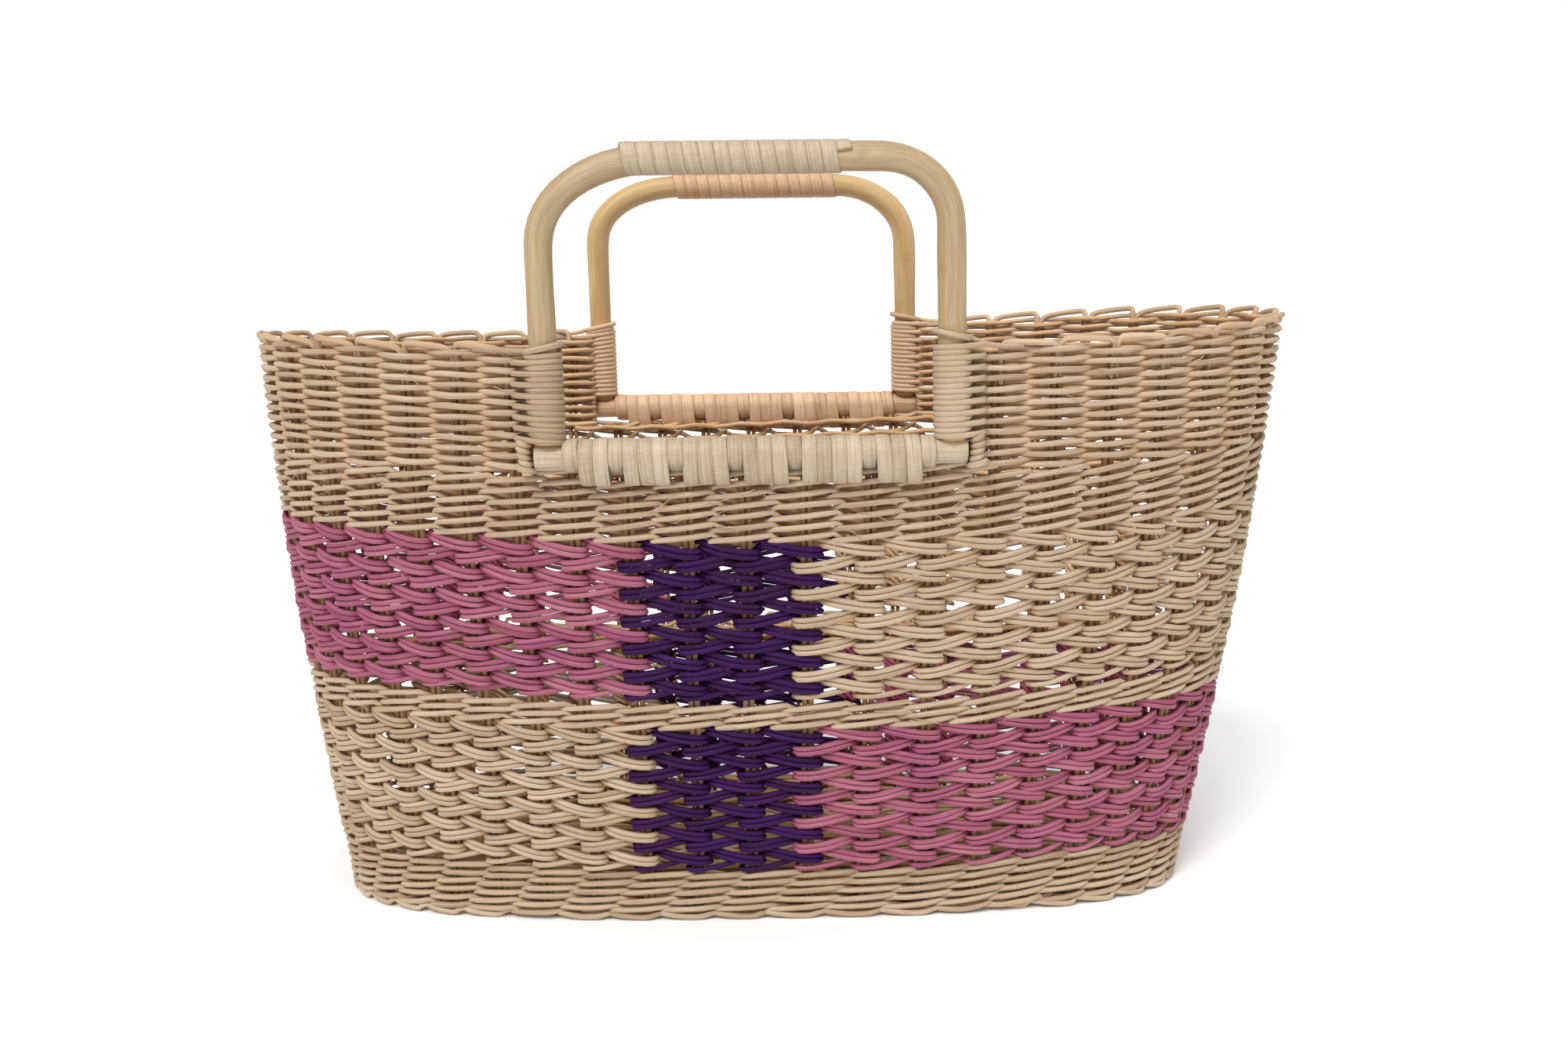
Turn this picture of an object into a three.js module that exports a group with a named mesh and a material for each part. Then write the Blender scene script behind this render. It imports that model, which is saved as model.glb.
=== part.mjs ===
// A woven rattan market basket: a flared oval body, two end panels that stand higher than the
// long sides, and a bent cane handle bound into each long side. Millimetres, +Z up. The origin
// is on the floor under the middle of the basket, X runs along it and -Y is its front.
import * as THREE from "three";
import { mergeVertices } from "three/addons/utils/BufferGeometryUtils.js";

// Woven wall
const RIM_HEIGHT = 286;
const PLAN_POWER = 2.3; // of the rim's outline: 2 is an ellipse, more is squarer
const BASE_POWER = 3.1; // of the floor's outline
const WALL = 5; // thickness of the weave outside the stakes
const GAP = 0.3; // between pieces that touch
const RING_COLUMNS = 72;
const BASE_SHIFT = -7.5; // the floor stands this far to the left of the rim
const END_RISE = 7.5; // how much higher the rim is at its two ends than in the middle
const LEAN = 2.7; // how much higher the right end of the rim is than the middle
const TWIST = 3.9; // extra height of the rim at its back right and front left corners
const CORNER_RISE = 4.2; // how much higher the lower bands run at the corners than between them
const FULL_RISE_Z = 24; // from this height up

// Heights of the woven bands
const LOWER_LATTICE_Z = 24;
const MIDDLE_BAND_Z = 104;
const UPPER_LATTICE_Z = 118;
const UPPER_BAND_Z = 198;
const PANEL_Z = 228;
const BORDER_Z = 281;
const PANEL_LEAN = 4.2; // room for the lean of the end panels' edges past the handles

// The dyed blocks of the lattices: the purple panel runs between these two places along X
const PURPLE_LEFT = -73;
const PURPLE_RIGHT = 22;

// Stakes: pairs of rods that cross the floor and turn up inside the wall. Each half of the rim,
// from the middle of the front round to the middle of the back, has its own spacing.
const LEFT_STAKE_ENDS = 24;
const RIGHT_STAKE_ENDS = 22;
const STAKE_SPREAD = 0.008; // share of half the rim by which stakes spread from its middle
const LONG_STAKES = 6;
const STAKE_WIDTH = 5.6;
const STAKE_BEND = 2.6; // from the level of the floor to where a stake stands upright
const ROD = 2.8;
const STAKE_CLEARANCE = 0.8;
const FLOOR = 4;

// Handles
const HANDLE_X = -10.5; // middle of both handles
const HANDLE_Y = 105.5;
const LEG_X = 88.9; // from the middle of a handle to the top of each leg
const FOOT_X = 89.3; // and to the foot of each leg
const SKEW = -0.9; // how far the top of a handle stands to the left of its feet
const CANE_RADIUS = 6.2;
const GRIP_Z = 366;
const BAR_Z = 239.2;
const BAR_RADIUS = 6;
const BAR_LEFT = -94.9;
const BAR_RIGHT = 95.9;
const BARE_LEFT = 15.2; // the left end of the bar that shows past its binding
const BARE_RIGHT = 16.8;
const KNOT_RADIUS = 3; // of a corner lashing at its top
const KNOT_TAPER = 0.6; // and how much thinner it is at its foot
const PEEL = 1.2; // thickness of the flat strip wound on the bar and the grip
const CANE_SIDES = 12;
const BOW_STEPS = 36;

const NATURAL = { color: 0xcdb996, roughness: 0.7, metalness: 0 };
const PINK = { color: 0xb4588b, roughness: 0.65, metalness: 0 };
const PURPLE = { color: 0x41205f, roughness: 0.6, metalness: 0 };
const CANE = { color: 0xcfb68a, roughness: 0.5, metalness: 0 };
const PEEL_STRIP = { color: 0xe1d2b4, roughness: 0.6, metalness: 0 };

const basket = new THREE.Group();

function addMesh(name, geometry, finish, parent = basket) {
  geometry.deleteAttribute("normal");
  geometry.deleteAttribute("uv");
  const closed = mergeVertices(geometry, 1e-4);
  closed.computeVertexNormals();
  const mesh = new THREE.Mesh(closed, new THREE.MeshStandardMaterial(finish));
  mesh.name = name;
  parent.add(mesh);
  return mesh;
}

// ---- The wall as a surface: an oval whose size grows with height ----

function halfLength(z) {
  return 221 + 0.2 * z - 0.00025 * z * z;
}

function halfDepth(z) {
  return 71.4 + 0.088 * z + 0.00089 * z * z - 2.57e-6 * z * z * z;
}

function power(value) {
  return Math.sign(value) * Math.abs(value) ** (2 / PLAN_POWER);
}

// The share of the half length at which a line that starts at this share of the rim passes
// this height. Lines stand upright on the long sides and draw together at the two ends.
function standingShare(rimShare, z) {
  const growth = halfLength(RIM_HEIGHT) / halfLength(z) - 1;
  const shift = (BASE_SHIFT * (1 - z / RIM_HEIGHT)) / halfLength(z);
  return rimShare + (1 - Math.abs(rimShare) ** 3) * (rimShare * growth - shift);
}

function planPower(z) {
  return PLAN_POWER + (BASE_POWER - PLAN_POWER) * (1 - z / RIM_HEIGHT) ** 3;
}

// How much higher the lower bands run at this place along X than in the middle
function cornerRise(x) {
  return CORNER_RISE * THREE.MathUtils.smoothstep(Math.abs(x) / halfLength(RIM_HEIGHT), 0.25, 0.6);
}

// The point at height z on the line that meets the rim at angle t, moved outwards by out
function wallPoint(t, z, out) {
  const share = z / RIM_HEIGHT;
  const lengthShare = standingShare(power(Math.cos(t)), z);
  const squareness = planPower(z);
  const depthShare = Math.max(0, 1 - Math.abs(lengthShare) ** squareness) ** (1 / squareness);
  const x = (halfLength(z) + out) * lengthShare;
  const y = (halfDepth(z) + out) * Math.sign(Math.sin(t)) * depthShare;
  const along = x / halfLength(RIM_HEIGHT);
  const across = y / halfDepth(RIM_HEIGHT);
  const rise = LEAN * along + TWIST * along * across + END_RISE * along * along;
  const raised = cornerRise(x) * Math.min(1, z / FULL_RISE_Z) * (1 - share);
  return new THREE.Vector3(x + BASE_SHIFT * (1 - share), y, z + rise * share + raised);
}

// The angle at which the front or back of the rim is at this place along X
function angleAt(x, side) {
  const cosine = Math.sign(x) * (Math.abs(x) / halfLength(RIM_HEIGHT)) ** (PLAN_POWER / 2);
  return side * Math.acos(cosine);
}

class RimLine extends THREE.Curve {
  getPoint(share, target = new THREE.Vector3()) {
    return target.copy(wallPoint(share * 2 * Math.PI - Math.PI / 2, RIM_HEIGHT, 0));
  }
}

function moveVertices(geometry, place) {
  const position = geometry.attributes.position;
  const vertex = new THREE.Vector3();
  for (let i = 0; i < position.count; i++) {
    const moved = place(vertex.fromBufferAttribute(position, i));
    position.setXYZ(i, moved.x, moved.y, moved.z);
  }
  return geometry;
}

// A panel of weave between two angles
function wallSector(start, end, low, high, rows, outer = 0, inner = -WALL) {
  const columns = Math.ceil((RING_COLUMNS * (end - start)) / (2 * Math.PI));
  return moveVertices(new THREE.BoxGeometry(1, 1, 1, columns, 1, rows), (v) => {
    const t = THREE.MathUtils.lerp(start, end, v.x + 0.5);
    const z = THREE.MathUtils.lerp(low, high, v.z + 0.5);
    return wallPoint(t, z, v.y > 0 ? inner : outer);
  });
}

// ---- Floor and stakes ----

function addFloor() {
  const outline = [];
  for (let i = 0; i < RING_COLUMNS; i++) {
    const p = wallPoint((i / RING_COLUMNS) * 2 * Math.PI, 0, -WALL - 0.5);
    outline.push(new THREE.Vector2(p.x, p.y));
  }
  const plate = new THREE.ExtrudeGeometry(new THREE.Shape(outline), {
    depth: FLOOR,
    bevelEnabled: false,
  });
  addMesh("base_weave", plate, NATURAL);
}

// A flat bar through stations, each with its centre and the directions of its width and
// thickness
function sweptBar(stations, width, thickness) {
  const last = stations.length - 1;
  const bar = new THREE.BoxGeometry(width, thickness, 1, 1, 1, last);
  return moveVertices(bar, (v) => {
    const station = stations[Math.round((v.z + 0.5) * last)];
    return station.centre
      .clone()
      .addScaledVector(station.side, v.x)
      .addScaledVector(station.out, -v.y);
  });
}

// The stations of one half of a stake pair, from the middle of the floor up to its top.
// level is the height of its centre on the floor, and along its direction there.
function stakeHalf(t, level, along, top) {
  const depth = -WALL - STAKE_CLEARANCE - ROD / 2;
  const foot = wallPoint(t, 0, depth);
  const floorSide = new THREE.Vector3(-along.y, along.x, 0);
  const stations = [];
  const up = new THREE.Vector3(0, 0, 1);
  for (const inwards of [STAKE_BEND + 1, 1]) {
    const centre = foot.clone().addScaledVector(along, -inwards).setZ(level);
    stations.push({ centre, side: floorSide, out: up.clone().negate() });
  }
  const bend = level + STAKE_BEND;
  const steps = 5;
  for (let i = 0; i <= steps; i++) {
    const z = THREE.MathUtils.lerp(bend, top, i / steps);
    const tangent = wallPoint(t + 0.01, z, depth).sub(wallPoint(t - 0.01, z, depth)).setZ(0);
    const side = tangent.normalize();
    const out = new THREE.Vector3(side.y, -side.x, 0);
    stations.push({ centre: wallPoint(t, z, depth), side, out });
  }
  return stations;
}

function addStake(name, t, opposite, level, along, top) {
  const near = stakeHalf(t, level, along, top).reverse();
  for (const station of near) {
    station.side = station.side.clone().negate();
  }
  const stations = [...near, ...stakeHalf(opposite, level, along.clone().negate(), top)];
  addMesh(name, sweptBar(stations, STAKE_WIDTH, ROD), NATURAL);
}

function stakeTop(x) {
  const underHandle = Math.abs(x - HANDLE_X) < FOOT_X + 3;
  return underHandle ? PANEL_Z - 2 : BORDER_Z - 3;
}

// The angles of the stakes of the right half of the rim, from the front round to the back
function stakeAngles(count) {
  const rim = new RimLine();
  const angles = [];
  for (let k = 0; k < count; k++) {
    const even = (k + 0.5) / count;
    const share = even + STAKE_SPREAD * Math.sin(2 * Math.PI * even);
    angles.push(rim.getUtoTmapping(share / 2) * 2 * Math.PI - Math.PI / 2);
  }
  return angles;
}

function addStakes() {
  const right = stakeAngles(RIGHT_STAKE_ENDS);
  const left = stakeAngles(LEFT_STAKE_ENDS).map((t) => -Math.PI - t);
  const rightCross = (RIGHT_STAKE_ENDS - LONG_STAKES) / 2;
  const leftCross = (LEFT_STAKE_ENDS - LONG_STAKES) / 2;
  const crossLevel = FLOOR + GAP + ROD / 2;
  const crossing = [...left.slice(0, leftCross).reverse(), ...right.slice(0, rightCross)];
  crossing.forEach((t, i) => {
    const name = "cross_stake_" + String(i + 1).padStart(2, "0");
    const top = stakeTop(wallPoint(t, RIM_HEIGHT, 0).x);
    addStake(name, t, -t, crossLevel, new THREE.Vector3(0, -1, 0), top);
  });
  for (let i = 0; i < LONG_STAKES; i++) {
    const level = crossLevel + ROD + GAP;
    const ends = [right[rightCross + i], left[leftCross + i]];
    addStake("long_stake_" + (i + 1), ...ends, level, new THREE.Vector3(1, 0, 0), BORDER_Z - 3);
  }
}

// ---- Woven bands, lattices, end panels and rim ----

// A band in two halves that meet in the middle of the front and of the back
function addBandHalves(name, low, high, rows) {
  const slit = GAP / halfLength(RIM_HEIGHT);
  const quarter = Math.PI / 2;
  const right = wallSector(-quarter + slit, quarter - slit, low, high, rows);
  const left = wallSector(quarter + slit, 3 * quarter - slit, low, high, rows);
  addMesh(name + "_right", right, NATURAL);
  addMesh(name + "_left", left, NATURAL);
}

function addBands() {
  addBandHalves("lower_band", 0, LOWER_LATTICE_Z - GAP, 2);
  addBandHalves("middle_band", MIDDLE_BAND_Z, UPPER_LATTICE_Z - GAP, 1);
  addBandHalves("upper_band", UPPER_BAND_Z, PANEL_Z - GAP, 2);
}

function addLattice(level, low, high, leftDye, rightDye) {
  const turn = 2 * Math.PI;
  const slit = GAP / halfDepth(RIM_HEIGHT);
  const frontLeft = angleAt(PURPLE_LEFT, -1);
  const frontRight = angleAt(PURPLE_RIGHT, -1);
  const backLeft = -frontLeft;
  const backRight = -frontRight;
  const blocks = [
    [leftDye, backLeft, frontLeft + turn],
    [["purple_front", PURPLE], frontLeft, frontRight],
    [rightDye, frontRight, backRight],
    [["purple_back", PURPLE], backRight, backLeft],
  ];
  for (const [[dye, finish], start, end] of blocks) {
    const block = wallSector(start + slit, end - slit, low, high - GAP, 2);
    addMesh(level + "_lattice_" + dye, block, finish);
  }
}

// Each end panel runs round its end between the binding of the front leg and of the back leg
function addEnds() {
  const toPanel = FOOT_X + CANE_RADIUS + ROD + PANEL_LEAN;
  const leftFront = angleAt(HANDLE_X - toPanel, -1);
  const rightFront = angleAt(HANDLE_X + toPanel, -1);
  const ends = [
    ["left", -leftFront, leftFront + 2 * Math.PI],
    ["right", rightFront, -rightFront],
  ];
  for (const [side, start, end] of ends) {
    addMesh(side + "_end_panel", wallSector(start, end, PANEL_Z, BORDER_Z - GAP, 2), NATURAL);
    const border = wallSector(start, end, BORDER_Z, RIM_HEIGHT, 1, -1, -WALL);
    addMesh(side + "_rim_border", border, NATURAL);
  }
}

// ---- Handles ----

// The middle line of a bent cane handle, from its left foot to its right foot
function bowLine([leftAcross, leftHigh], [rightAcross, rightHigh]) {
  const foot = BAR_Z + BAR_RADIUS + GAP;
  const left = SKEW - LEG_X;
  const right = SKEW + LEG_X;
  const line = new THREE.CurvePath();
  const point = (x, z) => new THREE.Vector3(x, 0, z);
  const corner = (x, inwards, across, high) => {
    const knee = 0.45; // how far the handles of a quarter ellipse's cubic stay from its corner
    return [
      point(x, GRIP_Z - high),
      point(x, GRIP_Z - high * knee),
      point(x + inwards * across * knee, GRIP_Z),
      point(x + inwards * across, GRIP_Z),
    ];
  };
  const leftCorner = corner(left, 1, leftAcross, leftHigh);
  const rightCorner = corner(right, -1, rightAcross, rightHigh).reverse();
  line.add(new THREE.LineCurve3(point(-FOOT_X, foot), leftCorner[0]));
  line.add(new THREE.CubicBezierCurve3(...leftCorner));
  line.add(new THREE.LineCurve3(leftCorner[3], rightCorner[0]));
  line.add(new THREE.CubicBezierCurve3(...rightCorner));
  line.add(new THREE.LineCurve3(rightCorner[3], point(FOOT_X, foot)));
  return line;
}

function disc(radius) {
  return new THREE.Shape().absarc(0, 0, radius, 0, 2 * Math.PI);
}

// A sleeve standing on the plane Z = 0
function sleeve(inner, outer, length) {
  const profile = [
    [outer, 0],
    [outer, length],
    [inner, length],
    [inner, 0],
    [outer, 0],
  ].map(([radius, z]) => new THREE.Vector2(radius, z));
  return new THREE.LatheGeometry(profile, CANE_SIDES).rotateX(Math.PI / 2);
}

function addHandle(name, side, corners, gripLeft, gripRight) {
  const handle = new THREE.Group();
  handle.position.set(HANDLE_X, side * HANDLE_Y, 0);
  basket.add(handle);

  const bow = new THREE.ExtrudeGeometry(disc(CANE_RADIUS), {
    extrudePath: bowLine(...corners),
    steps: BOW_STEPS,
    curveSegments: CANE_SIDES / 2,
  });
  addMesh(name + "_handle_bow", bow, CANE, handle);

  const bar = new THREE.CylinderGeometry(
    BAR_RADIUS,
    BAR_RADIUS,
    BAR_RIGHT - BAR_LEFT,
    CANE_SIDES,
  );
  const barMesh = addMesh(name + "_handle_bar", bar.rotateZ(Math.PI / 2), CANE, handle);
  barMesh.position.set((BAR_LEFT + BAR_RIGHT) / 2, 0, BAR_Z);

  const gripLength = gripRight - gripLeft;
  const snug = CANE_RADIUS / Math.cos(Math.PI / CANE_SIDES) + GAP;
  const grip = sleeve(snug, snug + PEEL, gripLength).rotateY(Math.PI / 2);
  addMesh(name + "_grip_wrap", grip, PEEL_STRIP, handle).position.set(gripLeft, 0, GRIP_Z);

  const barSnug = BAR_RADIUS / Math.cos(Math.PI / CANE_SIDES) + GAP;
  const bindingLeft = BAR_LEFT + BARE_LEFT;
  const binding = sleeve(barSnug, barSnug + PEEL, BAR_RIGHT - BARE_RIGHT - bindingLeft);
  const bindingMesh = addMesh(
    name + "_bar_binding",
    binding.rotateY(Math.PI / 2),
    PEEL_STRIP,
    handle,
  );
  bindingMesh.position.set(bindingLeft, 0, BAR_Z);

  for (const [end, sign] of [
    ["left", -1],
    ["right", 1],
  ]) {
    const low = BAR_Z + BAR_RADIUS + 2 * GAP;
    const high = RIM_HEIGHT - 1;
    const lean = Math.atan((SKEW + sign * (LEG_X - FOOT_X)) / (GRIP_Z - corners[0][1] - low));
    const wrap = sleeve(snug + GAP, snug + ROD - GAP, high - low);
    const binding = addMesh(name + "_" + end + "_leg_binding", wrap, NATURAL, handle);
    binding.position.set(sign * FOOT_X, 0, low);
    binding.rotation.y = lean;

    const knotHeight = low - PANEL_Z - 3 * GAP;
    const knot = new THREE.CylinderGeometry(
      KNOT_RADIUS,
      KNOT_RADIUS - KNOT_TAPER,
      knotHeight,
      CANE_SIDES,
    );
    const lashing = addMesh(
      name + "_" + end + "_corner_lashing",
      knot.rotateX(Math.PI / 2),
      NATURAL,
      handle,
    );
    const barEnd = sign < 0 ? BAR_LEFT : BAR_RIGHT;
    lashing.position.set(barEnd + sign * (KNOT_RADIUS + GAP), 0, PANEL_Z + GAP + knotHeight / 2);
  }
}

addFloor();
addStakes();
addBands();
addLattice("lower", LOWER_LATTICE_Z, MIDDLE_BAND_Z, ["natural", NATURAL], ["pink", PINK]);
addLattice("upper", UPPER_LATTICE_Z, UPPER_BAND_Z, ["pink", PINK], ["natural", NATURAL]);
addEnds();
addHandle("front", -1, [[50, 35], [30, 28]], -40, 42);
addHandle("back", 1, [[46, 30], [40, 32]], -43, 46);

export default basket;
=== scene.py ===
# The woven market basket: every rod of its weave, its bent cane handles and their bindings.
# Lengths in the functions are millimetres, and become metres where a mesh is made.
import math
import bpy
import numpy as np
from mathutils import Matrix, Vector


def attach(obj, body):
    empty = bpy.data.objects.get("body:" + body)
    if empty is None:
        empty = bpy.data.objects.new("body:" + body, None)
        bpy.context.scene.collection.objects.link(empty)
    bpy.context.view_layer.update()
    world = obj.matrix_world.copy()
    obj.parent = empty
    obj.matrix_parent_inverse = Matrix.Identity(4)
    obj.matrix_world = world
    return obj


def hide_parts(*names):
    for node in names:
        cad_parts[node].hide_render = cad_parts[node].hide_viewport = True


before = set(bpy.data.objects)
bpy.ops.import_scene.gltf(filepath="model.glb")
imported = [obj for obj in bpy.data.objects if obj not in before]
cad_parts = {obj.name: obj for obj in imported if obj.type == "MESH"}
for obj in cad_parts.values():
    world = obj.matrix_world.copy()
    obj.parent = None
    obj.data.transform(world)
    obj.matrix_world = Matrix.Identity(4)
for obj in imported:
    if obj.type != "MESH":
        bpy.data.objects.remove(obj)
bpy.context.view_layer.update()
MM = 0.001
random = np.random.default_rng(65)

# ---- Driving dimensions, the same as the CAD model's ----
RIM_HEIGHT = 286.0
PLAN_POWER = 2.3  # how square the plan's corners are at the rim, and then at the base
BASE_POWER = 3.1
CORNER_RISE = 4.2  # how much higher the lower bands run at the corners than in the middle
FULL_RISE_Z = 24.0  # the height from which the corners have all of that rise
BASE_SHIFT = -7.5  # from the middle of the rim to the middle of the base
END_RISE = 7.5  # how much higher the rim is at both ends than in the middle
LEAN = 2.7  # added to that at the right end, and taken off at the left
TWIST = 3.9  # how the rim rises towards its back right and front left, and falls to the others
LEFT_STAKES = 24
RIGHT_STAKES = 22
STAKES = LEFT_STAKES + RIGHT_STAKES
SPREAD = 0.008  # how much wider the stakes stand near the middle of a side than at the ends
LONG_STAKES = 6
HANDLE_X = -10.5
HANDLE_Y = 105.5
LEG_X = 88.9
FOOT_X = 89.3
SKEW = -0.9
CANE_RADIUS = 6.2
GRIP_Z = 366.0
BAR_Z = 239.2
BAR_RADIUS = 6.0
BAR_LEFT = -94.9
BAR_RIGHT = 95.9
Z_AXIS = np.array([0.0, 0.0, 1.0])

# ---- The rods, which the CAD model has shells and bars for, so these are this script's own ----
CORE = -4.9  # the stakes' depth below the outer face of the wall
FLOOR_LEVEL = 5.3  # the middle of the cross stakes' rods under the floor
ROD = 2.9  # from one layer of the floor's stakes to the next
PAIR = ROD / 2 + 0.05  # from the middle of a pair of rods to the middle of each
PANEL_ROD = 1.5  # radius of the rods in the end panels and rims, and along the inside of the bands
BAND_ROD = 1.45  # of the twined ones in the bands
STAKE_ROD = 1.42  # of those in the stakes, the floor and most of the bindings
HAIR = 0.17  # and of a split-off hair


# ---- The wall as a surface ----
def half_length(z):
    return 221 + 0.2 * z - 0.00025 * z**2


def half_depth(z):
    return 71.4 + 0.088 * z + 0.00089 * z**2 - 2.57e-6 * z**3


def power(value):
    return np.sign(value) * np.abs(value) ** (2 / PLAN_POWER)


def plan_power(z):
    return PLAN_POWER + (BASE_POWER - PLAN_POWER) * (1 - z / RIM_HEIGHT) ** 3


def corner_rise(x):
    """How much higher the lower bands run at this place along X than in the middle."""
    near = np.clip((np.abs(x) / half_length(RIM_HEIGHT) - 0.25) / 0.35, 0, 1)
    return CORNER_RISE * near**2 * (3 - 2 * near)


def wall_point(t, z, out):
    """The point at height z on the line that meets the rim at angle t, moved outwards by out."""
    t, z, out = np.broadcast_arrays(np.asarray(t, float), np.asarray(z, float), np.asarray(out, float))
    rim_share = power(np.cos(t))
    share = z / RIM_HEIGHT
    growth = half_length(RIM_HEIGHT) / half_length(z) - 1
    shift = BASE_SHIFT * (1 - share) / half_length(z)
    length_share = rim_share + (1 - np.abs(rim_share) ** 3) * (rim_share * growth - shift)
    squareness = plan_power(z)
    depth_share = np.maximum(0, 1 - np.abs(length_share) ** squareness) ** (1 / squareness)
    x = (half_length(z) + out) * length_share
    y = (half_depth(z) + out) * np.sign(np.sin(t)) * depth_share
    along = x / half_length(RIM_HEIGHT)
    across = y / half_depth(RIM_HEIGHT)
    rise = LEAN * along + TWIST * along * across + END_RISE * along**2
    raised = z + rise * share + corner_rise(x) * np.clip(z / FULL_RISE_Z, 0, 1) * (1 - share)
    return np.stack([x + BASE_SHIFT * (1 - share), y, raised], axis=-1)


RIM_ANGLES = np.linspace(-math.pi / 2, math.pi / 2, 721)
RIM_LINE = wall_point(RIM_ANGLES, RIM_HEIGHT, 0)
RIM_LENGTH = np.concatenate([[0], np.cumsum(np.linalg.norm(np.diff(RIM_LINE, axis=0), axis=1))])


def rim_angle(s):
    """The angle of a place counted in stakes from the middle of the front, to the right."""
    s = (np.asarray(s, float) + LEFT_STAKES) % STAKES - LEFT_STAKES
    share = np.where(s >= 0, s / RIGHT_STAKES, -s / LEFT_STAKES)
    share = share + SPREAD * np.sin(2 * math.pi * share)
    angle = np.interp(share, RIM_LENGTH / RIM_LENGTH[-1], RIM_ANGLES)
    return np.where(s >= 0, angle, -math.pi - angle)


def wall(s, z, out):
    return wall_point(rim_angle(s), z, out)


def outward(s, z):
    """The wall's horizontal normal, and the direction along the wall to the right."""
    tangent = wall(s + 0.02, z, CORE) - wall(s - 0.02, z, CORE)
    tangent[..., 2] = 0
    tangent /= np.linalg.norm(tangent, axis=-1, keepdims=True)
    return np.stack([tangent[..., 1], -tangent[..., 0], 0 * tangent[..., 0]], axis=-1), tangent


# ---- Unevenness ----
class Wander:
    """A slow random drift along the wall, with one free value for each stake."""

    def __init__(self, size):
        self.values = random.normal(0, size, STAKES)

    def __call__(self, s):
        values = np.append(self.values, self.values[0])
        return np.interp(np.asarray(s) % STAKES, np.arange(STAKES + 1), values)


# ---- Meshes from swept sections ----
def circle(count):
    """The angles of that many places, evenly round a circle."""
    return np.arange(count) * 2 * math.pi / count


def ring_section(sides):
    angles = circle(sides)
    return np.stack([np.cos(angles), np.sin(angles)], axis=-1)


ROD_SECTION = ring_section(6)


def strip_section(width, thickness):
    """A flat peel strip: crowned on its outer face, with thin rounded edges."""
    w, t = width / 2, thickness
    return np.array([(w, 0.35 * t), (0.88 * w, 0.85 * t), (0.35 * w, t), (-0.35 * w, t),
                     (-0.88 * w, 0.85 * t), (-w, 0.35 * t), (-0.85 * w, 0), (0.85 * w, 0)])


END_REACH = 0.35  # how far a rod's rounded end reaches past it, as a share of its radius
END_SCALE = 0.72  # and the radius there, as the same
GRAIN_RANGE = 900  # each rod's grain starts at a place of its own within this


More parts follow.
